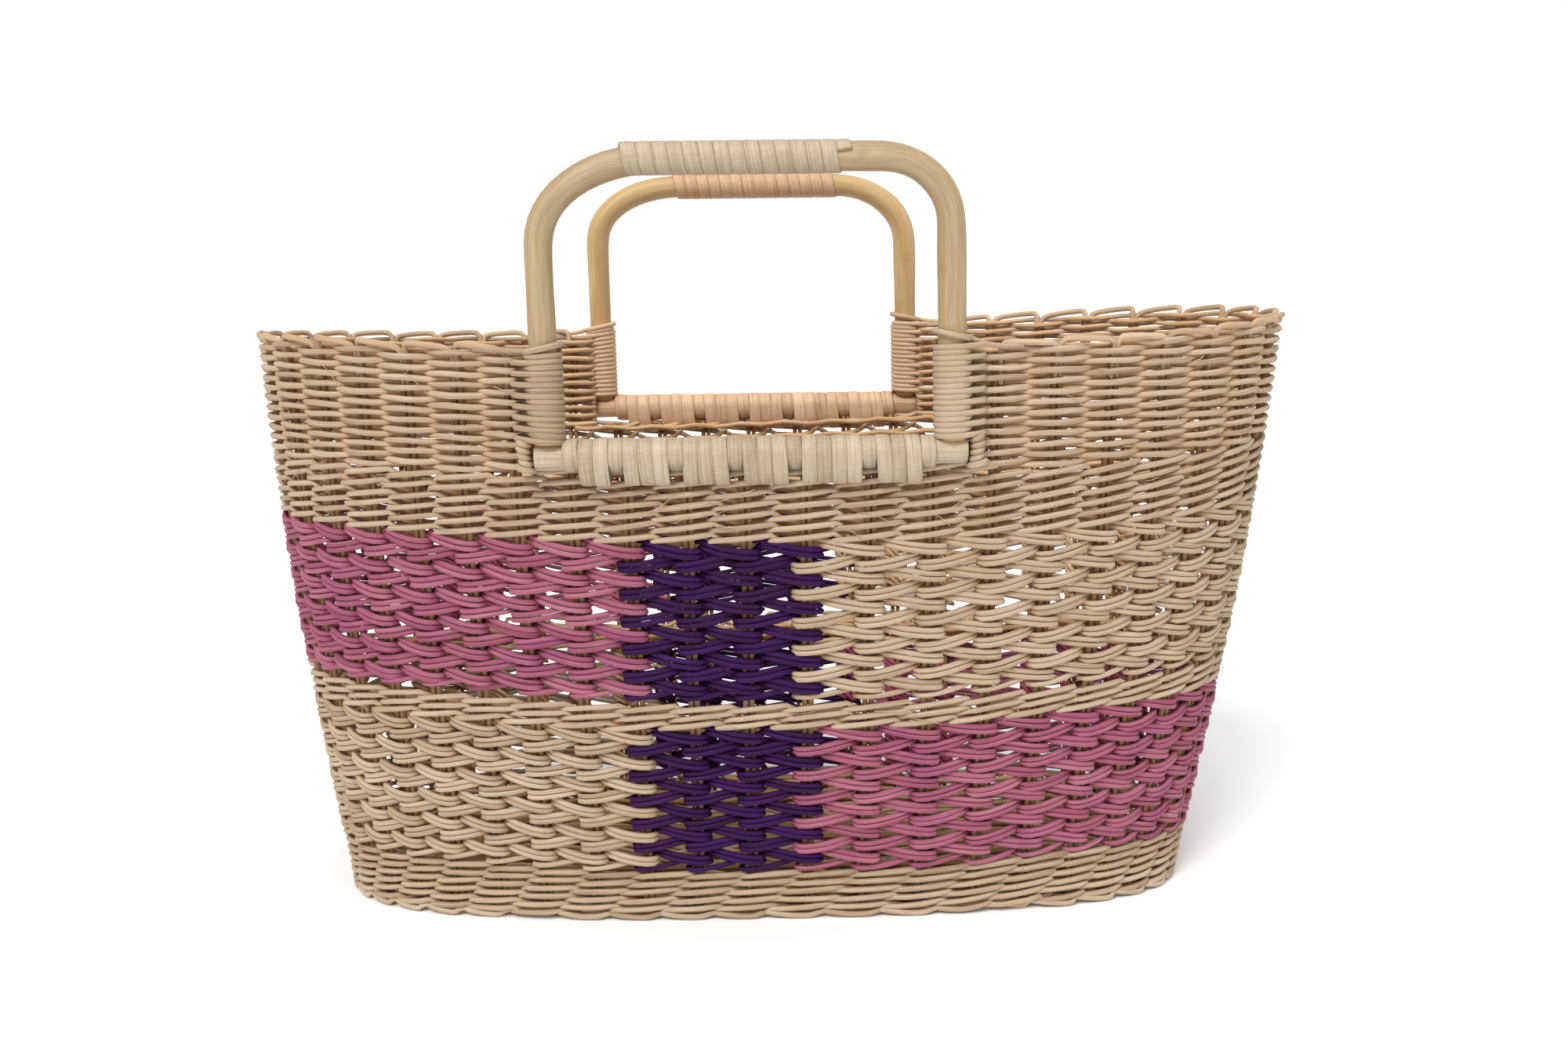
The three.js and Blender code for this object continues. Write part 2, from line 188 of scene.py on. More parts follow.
class Sweeps:
    """Collects swept rods and strips, and makes one mesh of them."""

    def __init__(self):
        self.verts, self.faces, self.grain, self.tone, self.cut, self.inner = [], [], [], [], [], []
        self.count = 0

    def add(self, path, scale, up, section=ROD_SECTION, closed=False, inner=0.0, round_ends=True):
        """Sweeps section along path. up is the direction that the section's second axis leans to,
        and inner says how far inside the wall each point is, from 0 to 1."""
        path = np.asarray(path, float)
        n, m = len(path), len(section)
        if closed:
            tangent = np.roll(path, -1, axis=0) - np.roll(path, 1, axis=0)
        else:
            tangent = np.gradient(path, axis=0)
        tangent /= np.linalg.norm(tangent, axis=1, keepdims=True)
        side = np.cross(tangent, np.broadcast_to(up, path.shape))
        side /= np.maximum(np.linalg.norm(side, axis=1, keepdims=True), 1e-9)
        normal = np.cross(side, tangent)
        scale = np.broadcast_to(np.asarray(scale, float), (n,))
        inner = np.broadcast_to(np.asarray(inner, float), (n,))
        length = np.concatenate([[0], np.cumsum(np.linalg.norm(np.diff(path, axis=0), axis=1))])
        if not closed and round_ends:
            reach = scale[0] * END_REACH
            path = np.concatenate([[path[0] - tangent[0] * reach], path, [path[-1] + tangent[-1] * reach]])
            side = np.concatenate([side[:1], side, side[-1:]])
            normal = np.concatenate([normal[:1], normal, normal[-1:]])
            scale = np.concatenate([[scale[0] * END_SCALE], scale, [scale[-1] * END_SCALE]])
            length = np.concatenate([[-reach], length, [length[-1] + reach]])
            inner = np.concatenate([inner[:1], inner, inner[-1:]])
            n += 2
        offset = section[None, :, 0, None] * side[:, None] + section[None, :, 1, None] * normal[:, None]
        rings = path[:, None] + scale[:, None, None] * offset
        shift = random.uniform(0, GRAIN_RANGE, 3)
        if section is ROD_SECTION:
            around = np.broadcast_to(section * scale.mean(), (n, m, 2))
        else:
            around = section * scale[:, None, None]
        along = np.repeat(length[:, None, None], m, axis=1)
        grain = np.concatenate([around + shift[:2], along + shift[2]], axis=2)
        tone = random.normal(0, 1)
        index = self.count + np.arange(n * m).reshape(n, m)
        first = index if closed else index[:-1]
        second = np.roll(index, -1, axis=0) if closed else index[1:]
        quads = np.stack([first, np.roll(first, -1, axis=1), np.roll(second, -1, axis=1), second], axis=-1)
        self.faces += quads.reshape(-1, 4).tolist()
        cut = np.zeros((n, m))
        if not closed:
            self.faces.append(index[0, ::-1].tolist())
            self.faces.append(index[-1].tolist())
            cut[0] = 1
            cut[-1] = 1
        self.verts.append(rings.reshape(-1, 3))
        self.grain.append(grain.reshape(-1, 3))
        self.tone.append(np.full(n * m, tone))
        self.cut.append(cut.ravel())
        self.inner.append(np.repeat(inner, m))
        self.count += n * m

    def make(self, name, material, slot, nodes):
        """Makes the piece, with the grain, tone, cut and inner that its material reads."""
        mesh = bpy.data.meshes.new(name)
        verts = np.concatenate(self.verts) * MM
        mesh.from_pydata(verts.tolist(), [], [face[::-1] for face in self.faces])
        mesh.polygons.foreach_set("use_smooth", np.ones(len(mesh.polygons), bool))
        grain = mesh.attributes.new("grain", "FLOAT_VECTOR", "POINT")
        grain.data.foreach_set("vector", np.concatenate(self.grain).astype(np.float32).ravel())
        for label, values in (("tone", self.tone), ("cut", self.cut), ("inner", self.inner)):
            layer = mesh.attributes.new(label, "FLOAT", "POINT")
            layer.data.foreach_set("value", np.concatenate(values).astype(np.float32))
        mesh.materials.append(material)
        mesh.update()
        piece = bpy.data.objects.new(name, mesh)
        bpy.context.scene.collection.objects.link(piece)
        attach(piece, "root")
        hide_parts(*nodes)


# ---- Materials ----
def linear(red, green, blue):
    """A colour given in sRGB bytes, as the shader wants it."""
    def decode(byte):
        value = byte / 255
        return value / 12.92 if value <= 0.04045 else ((value + 0.055) / 1.055) ** 2.4
    return (decode(red), decode(green), decode(blue), 1)


class Nodes:
    """Short calls for a material's nodes."""

    def __init__(self, name):
        self.material = bpy.data.materials.new(name)
        self.material.use_nodes = True
        self.tree = self.material.node_tree
        self.shader = self.tree.nodes["Principled BSDF"]

    def node(self, kind, inputs=(), **settings):
        made = self.tree.nodes.new(kind)
        for key, value in settings.items():
            setattr(made, key, value)
        for key, value in dict(inputs).items():
            self.put(made.inputs[key], value)
        return made

    def put(self, socket, value):
        """Links the socket to another node's output, or sets it to a plain value."""
        if isinstance(value, bpy.types.NodeSocket):
            self.tree.links.new(value, socket)
        else:
            socket.default_value = value

    def shade(self, name, value):
        self.put(self.shader.inputs[name], value)

    def math(self, operation, a, b):
        return self.node("ShaderNodeMath", {0: a, 1: b}, operation=operation).outputs[0]

    def noise(self, vector, scale, detail, roughness=0.5):
        made = self.node("ShaderNodeTexNoise", {"Vector": vector, "Scale": scale, "Detail": detail,
                                                "Roughness": roughness})
        return made.outputs["Fac"]

    def stretch(self, vector, scale):
        return self.node("ShaderNodeMapping", {"Vector": vector, "Scale": scale}).outputs[0]

    def span(self, value, low, high, to_low, to_high):
        made = self.node("ShaderNodeMapRange", {"Value": value, "From Min": low, "From Max": high,
                                                "To Min": to_low, "To Max": to_high})
        return made.outputs[0]

    def ramp(self, value, stops):
        made = self.node("ShaderNodeValToRGB", {"Fac": value})
        elements = made.color_ramp.elements
        while len(elements) < len(stops):
            elements.new(0.5)
        for element, (place, colour) in zip(elements, stops):
            element.position = place
            element.color = colour
        return made.outputs["Color"]

    def mix(self, factor, a, b, blend="MIX"):
        made = self.node("ShaderNodeMix", data_type="RGBA", blend_type=blend)
        for place, value in ((0, factor), (6, a), (7, b)):
            self.put(made.inputs[place], value)
        return made.outputs[2]

    def attribute(self, name, output):
        return self.node("ShaderNodeAttribute", attribute_name=name).outputs[output]


def rod_material(name, stops, speck, end, tone_size, patch_colour, inside_painted_light, roughness, gloss=0.35):
    """Split or round rattan: streaks along each rod, a tone of its own, patches and specks, and
    painted light inside the wall, a tint that stands in for the bounced light and shade there."""
    n = Nodes(name)
    grain = n.attribute("grain", "Vector")
    place = n.node("ShaderNodeTexCoord").outputs["Object"]
    streak = n.noise(n.stretch(grain, (1.6, 1.6, 0.035)), 1.0, 3.0, 0.62)
    fine = n.noise(n.stretch(grain, (4.5, 4.5, 0.12)), 1.0, 2.0, 0.6)
    tone = n.math("MULTIPLY", n.attribute("tone", "Fac"), tone_size)
    value = n.math("ADD", n.math("MULTIPLY", streak, 0.75), n.math("MULTIPLY", fine, 0.25))
    colour = n.ramp(n.math("ADD", value, tone), stops)
    patches = n.noise(place, 24.0, 3.0, 0.6)
    colour = n.mix(n.span(patches, 0.5, 0.78, 0.0, 0.75), colour, patch_colour)
    # Painted light and shade inside the wall: the inner attribute mixes in a tint that lightens and warms
    # natural rattan and darkens the dyes.
    colour = n.mix(n.attribute("inner", "Fac"), colour, inside_painted_light, "MULTIPLY")
    specks = n.noise(n.stretch(grain, (0.9, 0.9, 0.5)), 1.0, 1.0)
    colour = n.mix(n.span(specks, 0.79, 0.84, 0.0, 0.65), colour, speck)
    colour = n.mix(n.attribute("cut", "Fac"), colour, end)
    n.shade("Base Color", colour)
    n.shade("Roughness", n.span(fine, 0.3, 0.7, roughness - 0.08, roughness + 0.1))
    height = n.math("ADD", n.math("MULTIPLY", streak, 0.7), n.math("MULTIPLY", fine, 0.5))
    made = n.node("ShaderNodeBump", {"Height": height, "Strength": 0.4, "Distance": 0.0006})
    n.shade("Normal", made.outputs[0])
    n.shade("Specular IOR Level", gloss)
    return n.material


# In each material below, the tint for inside the wall is painted light and shade: it lightens and warms
# the natural rattan, and darkens the pink and purple.
NATURAL = rod_material(
    "natural_rattan",
    [(0.22, linear(132, 105, 79)), (0.4, linear(170, 145, 119)), (0.56, linear(188, 166, 141)),
     (0.8, linear(206, 187, 164))],
    speck=linear(96, 66, 42), end=linear(140, 104, 70), tone_size=0.05,
    patch_colour=linear(172, 148, 116), inside_painted_light=(1.3, 1.13, 0.9, 1), roughness=0.62)
# Painted shade: a darker copy of the natural rattan, for the stakes that lie deep in the wall.
SHADED = rod_material(
    "shaded_rattan",
    [(0.22, linear(104, 78, 54)), (0.45, linear(134, 106, 76)), (0.8, linear(164, 138, 104))],
    speck=linear(80, 52, 32), end=linear(140, 104, 70), tone_size=0.05,
    patch_colour=linear(128, 96, 66), inside_painted_light=(1.4, 1.2, 1.0, 1), roughness=0.66)
# Painted light: a lighter, warmer copy of the natural rattan for the back handle's bindings, standing in
# for the light bounced onto them from inside the basket.
BOUNCE_LIT = rod_material(
    "bounce_lit_rattan",
    [(0.22, linear(168, 136, 102)), (0.4, linear(204, 172, 138)), (0.56, linear(220, 190, 156)),
     (0.8, linear(232, 208, 178))],
    speck=linear(104, 70, 42), end=linear(150, 108, 70), tone_size=0.05,
    patch_colour=linear(196, 158, 116), inside_painted_light=(1.05, 1.0, 0.94, 1), roughness=0.62)
PINK = rod_material(
    "pink_rattan",
    [(0.2, linear(106, 40, 62)), (0.4, linear(146, 74, 96)), (0.58, linear(166, 98, 116)),
     (0.82, linear(194, 140, 148))],
    speck=linear(86, 32, 50), end=linear(126, 60, 74), tone_size=0.06,
    patch_colour=linear(142, 66, 112), inside_painted_light=(1.1, 0.84, 0.86, 1), roughness=0.6)
PURPLE = rod_material(
    "purple_rattan",
    [(0.2, linear(26, 4, 34)), (0.45, linear(46, 8, 62)), (0.65, linear(58, 14, 78)),
     (0.85, linear(86, 44, 106))],
    speck=linear(22, 6, 28), end=linear(48, 14, 56), tone_size=0.05,
    patch_colour=linear(54, 12, 56), inside_painted_light=(0.8, 0.6, 0.7, 1), roughness=0.55, gloss=0.16)


def cane_material(name, stops, streak_colour, stain, roughness):
    """A bent pole of cane: long streaks, darker rings at its joints, and a waxy surface."""
    n = Nodes(name)
    grain = n.attribute("grain", "Vector")
    place = n.node("ShaderNodeTexCoord").outputs["Object"]
    broad = n.noise(n.stretch(grain, (0.28, 0.28, 0.02)), 1.0, 3.0, 0.6)
    fine = n.noise(n.stretch(grain, (1.7, 1.7, 0.05)), 1.0, 3.0, 0.65)
    colour = n.ramp(n.math("ADD", n.math("MULTIPLY", broad, 0.55), n.math("MULTIPLY", fine, 0.45)), stops)
    yellow = n.noise(n.stretch(grain, (0.5, 0.5, 0.012)), 1.0, 2.0)
    colour = n.mix(n.span(yellow, 0.52, 0.68, 0.0, 0.8), colour, streak_colour)
    stains = n.noise(place, 60.0, 4.0, 0.6)
    colour = n.mix(n.span(stains, 0.6, 0.74, 0.0, 0.5), colour, stain)
    marks = n.noise(n.stretch(grain, (0.3, 0.3, 0.6)), 1.0, 1.0)
    colour = n.mix(n.span(marks, 0.78, 0.83, 0.0, 0.7), colour, linear(110, 74, 40))
    colour = n.mix(n.attribute("cut", "Fac"), colour, linear(196, 156, 104))
    n.shade("Base Color", colour)
    n.shade("Roughness", n.span(fine, 0.3, 0.7, roughness - 0.06, roughness + 0.1))
    made = n.node("ShaderNodeBump", {"Height": fine, "Strength": 0.3, "Distance": 0.0008})
    n.shade("Normal", made.outputs[0])
    n.shade("Specular IOR Level", 0.45)
    n.shade("Coat Weight", 0.12)
    n.shade("Coat Roughness", 0.35)
    return n.material


CANE_FRONT = cane_material(
    "cane_front",
    [(0.25, linear(140, 114, 78)), (0.48, linear(168, 146, 110)), (0.7, linear(186, 168, 134))],
    streak_colour=linear(172, 138, 86), stain=linear(146, 114, 76), roughness=0.48)
# Painted light: lighter and warmer than the front's cane, standing in for the light bounced onto the back
# handle from inside the basket.
CANE_BACK = cane_material(
    "cane_back",
    [(0.25, linear(166, 130, 80)), (0.48, linear(190, 158, 108)), (0.7, linear(206, 178, 132))],
    streak_colour=linear(192, 150, 84), stain=linear(160, 120, 72), roughness=0.48)


def peel_material(name, stops, crack):
    """Flat peel strips: satin, with fine lines along and across them."""
    n = Nodes(name)
    grain = n.attribute("grain", "Vector")
    along = n.noise(n.stretch(grain, (2.6, 1.0, 0.05)), 1.0, 3.0, 0.6)
    across = n.noise(n.stretch(grain, (0.25, 0.3, 1.2)), 1.0, 3.0, 0.65)
    tone = n.math("MULTIPLY", n.attribute("tone", "Fac"), 0.05)
    value = n.math("ADD", n.math("MULTIPLY", along, 0.7), n.math("MULTIPLY", across, 0.3))
    colour = n.ramp(n.math("ADD", value, tone), stops)
    lines = n.noise(n.stretch(grain, (1.9, 0.3, 0.02)), 1.0, 1.0)
    colour = n.mix(n.span(lines, 0.6, 0.68, 0.0, 0.5), colour, crack)
    colour = n.mix(n.attribute("cut", "Fac"), colour, linear(150, 108, 66))
    n.shade("Base Color", colour)
    n.shade("Roughness", n.span(along, 0.3, 0.7, 0.42, 0.6))
    height = n.math("ADD", n.math("MULTIPLY", along, 0.6), n.math("MULTIPLY", across, 0.8))
    made = n.node("ShaderNodeBump", {"Height": height, "Strength": 0.3, "Distance": 0.0006})
    n.shade("Normal", made.outputs[0])
    n.shade("Specular IOR Level", 0.45)
    return n.material


PEEL = peel_material(
    "peel_front",
    [(0.25, linear(144, 122, 94)), (0.45, linear(172, 154, 129)), (0.62, linear(190, 173, 149)),
     (0.85, linear(212, 197, 174))],
    crack=linear(140, 110, 78))
# Painted light: lighter and warmer than the front's peel, standing in for the light bounced onto the back
# handle from inside the basket.
PEEL_BACK = peel_material(
    "peel_back",
    [(0.25, linear(178, 136, 98)), (0.45, linear(208, 170, 134)), (0.62, linear(222, 188, 152)),
     (0.85, linear(234, 208, 176))],
    crack=linear(140, 100, 64))


# ---- Bands: two rods twined round the stakes, so that one of them is in front of each ----
BAND_SWING = 2.8  # how far in front of a stake's middle or behind it a rod passes
BAND_STEPS = 6  # points of a twined rod from stake to stake, and then of an inner rod
INNER_STEPS = 4
INNER_DEPTH = 5.8  # from the stakes' middle to an inner rod's
BOTTOM_PITCH = 4.62
BOTTOM_ROWS = 6
MIDDLE_LOW, MIDDLE_PITCH, MIDDLE_ROWS = 106.4, 4.5, 3
TOP_LOW, TOP_PITCH, TOP_ROWS = 200.2, 5.1, 6
EDGE_LEVEL = 230.9  # the last row of the long sides, close under the handles' bars
EDGE_SPANS = ((-4.2, 3.6), (18.3, 26.6))  # where it runs, at the front and at the back


def inside(out):
    """How far inside the wall a rod at this depth is, from 0 to 1."""
    return np.clip((-3.2 - out) / 3.5, 0, 1)


def twined_row(rods, level, dip, shift, foot=0.0, span=None, steepness=1.5):
    """level gives the row's height at each place along the wall, and dip says how much lower a
    rod is behind a stake. The crossings are shift stakes to the right of the middle. A row that
    would be lower than foot is laid flat on it, and turned in under the rest. A row with a span
    runs only between those two places, and others run all round. steepness is how far a rod rises
    over half a stake where it passes in front."""
    for parity in (0, 1):
        drift, depth = Wander(0.25), Wander(0.12)
        if span:
            s = np.arange(*span, 1 / BAND_STEPS)
        else:
            s = -LEFT_STAKES + 1.5 - parity + np.arange(STAKES * BAND_STEPS) / BAND_STEPS
        turn = math.pi * (s - 0.5 - parity)
        s = s + shift * (1 - np.abs(np.cos(turn)) ** 2) + shift * 0.5
        wave = np.cos(turn)
        shown = np.clip(wave + 0.3, -1, 1)
        squared = np.sign(shown) * np.abs(shown) ** 0.45
        out = CORE + BAND_SWING * squared + depth(s)
        slant = steepness * np.arcsin(np.sin(turn)) * 2 / math.pi
        z = level(s) + slant - dip * np.clip(-1.5 * wave, 0, 1) + drift(s)
        if foot:
            scallop = foot + 1.8 * (1 - np.abs(wave) ** 1.5)
            out = out - 6 * np.clip((foot - 0.6 - level(s)) / 1.5, 0, 1)
            z = np.maximum(z, scallop)
        thick = BAND_ROD * (1 + random.normal(0, 0.03)) * (0.9 + 0.1 * np.abs(wave) ** 0.7)
        rods.add(wall(s, z, out), thick, Z_AXIS, closed=span is None, inner=inside(out))


def inner_rod(rods, level, lower, foot=0, span=None):
    """A rod along the inner face, below its row, that closes the gap between two rows."""
    s = np.arange(*span, 1 / INNER_STEPS) if span else np.arange(STAKES * INNER_STEPS) / INNER_STEPS
    sway = 0.7 * np.sin(2 * math.pi * (s - 0.5))
    z = np.maximum(level(s) - lower + sway + Wander(0.15)(s), foot)
    out = CORE - INNER_DEPTH + 0.3 * np.cos(math.pi * s)
    rods.add(wall(s, z, out), PANEL_ROD, Z_AXIS, closed=span is None, inner=1.0)


def loose_fibres(rods, first, last, low, high, count):
    """Hairs that have split off the rods, between two places and two heights."""
    for _ in range(count):
        s, z = random.uniform(first, last), random.uniform(low, high)
        share = np.linspace(0, 1, 7)
        length, rise, curl = random.uniform(0.15, 0.5), random.normal(0, 4), random.uniform(0.5, 1.4)
        out = -1.2 + curl * np.sin(share * 2.2)
        rods.add(wall(s + length * share, z + rise * share**1.5, out), HAIR, Z_AXIS)


def even(height):
    """The level of a row that has the same height all along."""
    return lambda s: height + 0 * s


def twined_band(name, heights, dip, lower, nodes, edge=()):
    """Rows all round at these heights, each with an inner rod that is lower by lower. edge gives
    the spans of the long sides' last row, where the band has it."""
    rods = Sweeps()
    loose_fibres(rods, -LEFT_STAKES, RIGHT_STAKES - 0.6, heights[0], heights[-1], 5 * len(heights))
    for height in heights:
        twined_row(rods, even(height), dip, random.normal(0, 0.06))
        inner_rod(rods, even(height), lower)
    for span in edge:
        twined_row(rods, even(EDGE_LEVEL), 2.0, 0.0, span=span)
        inner_rod(rods, even(EDGE_LEVEL), 1.6, span=span)
    rods.make(name, NATURAL, "natural_rattan", nodes)


def bottom_band():
    """One more row shows at the corners than in the middle, where it turns in under the rest."""
    rods = Sweeps()
    for row in range(-1, BOTTOM_ROWS):
        def level(s, row=row):
            raised = corner_rise(wall(s, 10, 0)[..., 0] - BASE_SHIFT)
            return (1.5 + BOTTOM_PITCH * row + raised) / (1 + raised / FULL_RISE_Z)
        shift = 0.07 * (row - 2) + random.normal(0, 0.04)
        twined_row(rods, level, 3.0, shift, foot=1.5, steepness=0.95)
        if row > 0:
            inner_rod(rods, level, 5.1, foot=1.6)
    rods.make("bottom_waling", NATURAL, "natural_rattan", ["lower_band_left", "lower_band_right"])


# ---- Lattices: doubled rods that wrap each second stake and pass behind the ones between ----
# Half a turn is a falling row in front of its stake, then a rising row below it. The keys are
# the place in stakes from that stake, the depth, and the height above the falling row.
RISE = 4.2
FALLING = np.array([
    (-1.0, -9.8, RISE), (-0.89, -8.6, RISE - 1.2), (-0.79, -5.6, RISE), (-0.66, -3.8, 3.4),
    (-0.48, -2.7, 2.25), (-0.3, -2.0, 1.3), (-0.12, -1.6, 0.5), (0.05, -1.5, 0.1),
    (0.165, -2.2, 0.0), (0.225, -4.6, -0.1),
    (0.15, -7.4, 0.0), (0.0, -8.0, 0.0)])
RISING = FALLING[::-1] * (-1, 1, 1)


def half_turn(k, rising, drop):
    """The keys of one half turn round stake k, with a little unevenness of its own."""
    keys = (RISING if rising else FALLING).copy()
    front = np.clip((keys[:, 1] + 6) / 3, 0, 1)
    keys[:, 1] += front * random.normal(0, 0.15)
    keys[:, 2] += front * (random.normal(0, 0.3) + random.normal(0, 0.4) * keys[:, 0])
    keys[:, 2] -= drop * rising
    ends = [0, 1, -1] if rising else [-1, -2, 0]
    keys[ends, 2] = [-0.5 * drop, -(0.75 if rising else 0.25) * drop, RISE - 0.5 * drop]
    keys[:, 0] += k + 0.5
    return keys


def wrapped_rods(rods, height, turns, radius, drop, doubled=True):
    """One strand through turns, which are (stake, whether it rises)."""
    keys = []
    for k, rising in turns:
        part = half_turn(k, rising, drop + 0.6 * math.tanh(k / 3))
        keys.append(part[1:] if keys else part)
    keys = np.concatenate(keys)
    s, out, z = keys[:, 0], keys[:, 1], keys[:, 2] + height
    path = wall(s, z, out)
    tangent = np.gradient(path, axis=0)
    tangent /= np.linalg.norm(tangent, axis=1, keepdims=True)
    upright = Z_AXIS - tangent * tangent[:, 2:]
    upright /= np.linalg.norm(upright, axis=1, keepdims=True)
    for shift in ((1, -1) if doubled else (0,)):
        thick = radius * (1 + random.normal(0, 0.03)) * (1 + 0.04 * np.sin(s * 1.1 + random.uniform(0, 6)))
        rods.add(path + upright * shift * radius, thick, Z_AXIS, inner=inside(out))


def lattice(level, top, pitch, rows, radius, last_drop, blocks):
    """blocks are (dye, material, slot, first and last stake of the falling rows)."""
    for dye, material, slot, first, last in blocks:
        rods = Sweeps()
        for row in range(rows):
            height = top - row * pitch
            for parity in (0, 1):
                turns = [(k, rising) for k in range(first - 1, last + 1) if k % 2 == parity
                         for rising in (False, True) if first - rising <= k <= last - rising]
                if row < rows - 1:
                    wrapped_rods(rods, height, turns, radius, 6.9)
                else:
                    for turn in turns:
                        wrapped_rods(rods, height, [turn], radius, last_drop, doubled=not turn[1])
        rods.make(level + "_openwork_" + dye, material, slot, [level + "_lattice_" + dye])


def dye_blocks(left, right):
    """The blocks of one lattice all round, where left and right give (dye, material, slot)."""
    return [
        (*left, -21, -3), ("purple_front", PURPLE, "purple_rattan", -2, 0),
        (*right, 1, 20), ("purple_back", PURPLE, "purple_rattan", 21, 24)]


# ---- End panels: single rods over one stake and under the next ----
PANEL_LOW, PANEL_TOP, PANEL_PITCH = 229.4, 282.5, 2.38
PANEL_SWING = 3.1


def end_panel(side, first, last):
    """The rods run from beside one handle round the end to beside the other."""
    rods = Sweeps()
    rows = int((PANEL_TOP - PANEL_LOW) / PANEL_PITCH) + 1
    for row in range(rows):
        s = np.arange(first, last + 1e-6, 1 / BAND_STEPS)
        wave = np.cos(math.pi * (s - 0.5 + row % 2))
        squared = np.sign(wave) * np.abs(wave) ** 0.7
        out = CORE + PANEL_SWING * squared
        level = PANEL_LOW + row * PANEL_PITCH + Wander(0.16)(s) + 0.25 * np.sin(2 * math.pi * s + row)
        thick = PANEL_ROD * (1 + random.normal(0, 0.04)) * (1 - 0.08 * (1 - np.abs(wave)))
        rods.add(wall(s, level, out), thick, Z_AXIS, inner=inside(out))
    loose_fibres(rods, first, last - 0.6, PANEL_LOW, PANEL_TOP, 14)
    rods.make(side + "_end_weave", NATURAL, "natural_rattan", [side + "_end_panel"])


# Of one loop of the rim: the place in stakes from its own stake, the depth and the height.
RIM_LOOP = np.array([
    (0.05, -5.0, 268), (0.04, -4.9, 280), (0.045, -4.5, 284.4), (0.09, -3.4, 286.1), (0.2, -2.4, 286.5),
    (0.4, -1.8, 286.4), (0.6, -1.8, 286.2), (0.8, -2.4, 285.8), (0.92, -3.4, 284.8), (0.965, -4.5, 282.6),
    (0.96, -5.0, 277), (0.95, -5.0, 268)])


def rim_border(side, first, last):
    """Each stake's rod bends over to the right like a staple, and down beside the next stake."""
    rods = Sweeps()
    for k in range(first, last):
        fall = random.normal(1.1, 0.3)
        lift = random.normal(-0.7, 0.2)
        place, depth, height = RIM_LOOP.T
        s = k + 0.5 + place
        z = height + lift - fall * place
        # inner=0.4 gives the loops part of the material's painted inside light and shade.
        rods.add(wall(s, z, depth), PANEL_ROD, outward(s, z)[0], inner=0.4)
    rods.make(side + "_rim_loops", NATURAL, "natural_rattan", [side + "_rim_border"])


# ---- Stakes and floor ----
STAKE_TOP = 280.0
STAKE_FOOT = 9.5  # the lowest point of a stake in the wall, before it turns in under the floor
TURN_IN = 0.03  # the share of the way across at which it is at the floor's level
FLOOR_PITCH = 3.05
FLOOR_STEP = 4.2  # between two points of a floor rod
FLOOR_INSET_X, FLOOR_INSET_Y = 5.5, 4.5
SHORTEST_REACH = 20  # a floor rod with less than this on each side of the middle is left out
STAKE_CLEARANCE = 3.4  # and so is one that is closer than this to a long stake
STAKE_GAP = 25  # about what is between two cross stakes


def stake_half(s, top):
    """The rods of one stake from its top down to the floor, and the direction along the wall."""
    z = np.concatenate([np.linspace(top, 30, 9), [16, STAKE_FOOT]])
    tangent = outward(np.full(len(z), s), z)[1]
    lean = 0.35 * np.sin(z * 0.05 + s * 2.1)
    return wall(s, z, CORE) + tangent * lean[:, None], tangent


def under_handle(s):
    """Whether the stake at s is in the low part of a long side, between a handle's legs."""
    return abs(float(wall(s, RIM_HEIGHT, 0)[0]) - HANDLE_X) < FOOT_X + 3


def stakes():
    """Each stake runs down one side, across under the floor and up the other side."""
    cross, lengthwise = Sweeps(), Sweeps()
    left_cross, right_cross = (LEFT_STAKES - LONG_STAKES) // 2, (RIGHT_STAKES - LONG_STAKES) // 2
    pairs = [(-k - 0.5, -(LEFT_STAKES - k) + 0.5, False) for k in range(left_cross)]
    pairs += [(k + 0.5, RIGHT_STAKES - k - 0.5, False) for k in range(right_cross)]
    pairs += [(right_cross + i + 0.5, -(left_cross + i) - 0.5, True) for i in range(LONG_STAKES)]
    for near, far, is_long in pairs:
        top = PANEL_LOW + 2 if under_handle(near) else STAKE_TOP
        front, front_side = stake_half(near, top)
        back, back_side = stake_half(far, top)
        level = FLOOR_LEVEL + (ROD if is_long else 0)
        inner_front = front[-1] + (back[-1] - front[-1]) * TURN_IN
        inner_back = back[-1] + (front[-1] - back[-1]) * TURN_IN
        inner_front[2] = inner_back[2] = level
        flat = np.linspace(inner_front, inner_back, 10)
        across = front_side[-1] - back_side[-1]
        across /= np.linalg.norm(across)
        line = np.concatenate([front, flat, back[::-1]])
        sides = np.concatenate([front_side, np.tile(across, (len(flat), 1)), -back_side[::-1]])
        for shift in (PAIR, -PAIR):
            # inner=0.5 gives the stakes half of the material's painted inside light and shade.
            (lengthwise if is_long else cross).add(line + sides * shift, STAKE_ROD, sides, inner=0.5)
    cross_nodes = ["cross_stake_%02d" % (i + 1) for i in range(left_cross + right_cross)]
    cross.make("cross_stake_rods", SHADED, "natural_rattan", cross_nodes)
    long_nodes = ["long_stake_%d" % (i + 1) for i in range(LONG_STAKES)]
    lengthwise.make("long_stake_rods", SHADED, "natural_rattan", long_nodes)
    return pairs


